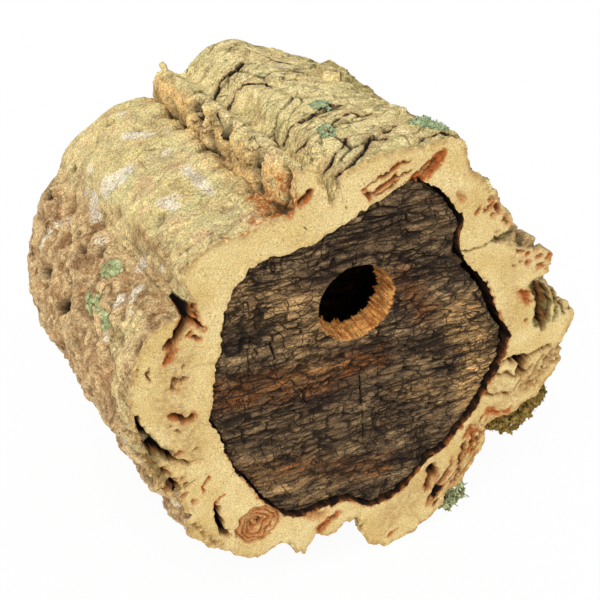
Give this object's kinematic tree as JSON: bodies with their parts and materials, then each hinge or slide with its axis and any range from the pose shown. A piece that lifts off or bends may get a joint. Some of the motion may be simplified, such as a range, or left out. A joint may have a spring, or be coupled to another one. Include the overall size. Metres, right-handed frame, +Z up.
{
  "type": "birdhouse",
  "caption": "Birdhouse made of a hollow cork bark tube with a pull-out bark front panel, a round entrance hole, a pinned bark rear panel and a keyhole hanger.",
  "frame": {"origin": "on the ground, in the middle of the part's width and depth", "axes": "+Z up, -Y towards the front panel and its entrance hole, +X to the right seen from the front; the tube runs along Y"},
  "size_m": [0.2104, 0.13, 0.1987],
  "materials": {
    "cork_bark": "raw cork bark with sawn cork ends",
    "dark_bark": "raw dark bark slab",
    "peg_wood": "raw turned wood",
    "steel": "zinc plated",
    "lichen": "dry crusty lichen",
    "moss": "dry moss"
  },
  "bodies": {
    "house": {"bark_tube": "cork_bark", "front_stop_pegs": "peg_wood", "rear_panel": "dark_bark", "rear_panel_pins": "steel", "hanger_plate": "steel", "hanger_screws": "steel", "lichen_top": "lichen", "lichen_crest": "lichen", "lichen_left": "lichen", "lichen_low": "lichen", "moss_right": "moss"},
    "front": {"front_panel": "dark_bark"}
  },
  "joints": [
    {"name": "front_panel_pull", "type": "slide", "parent": "house", "child": "front", "axis": [0, -1, 0], "range_m": [0, 0.06]}
  ]
}
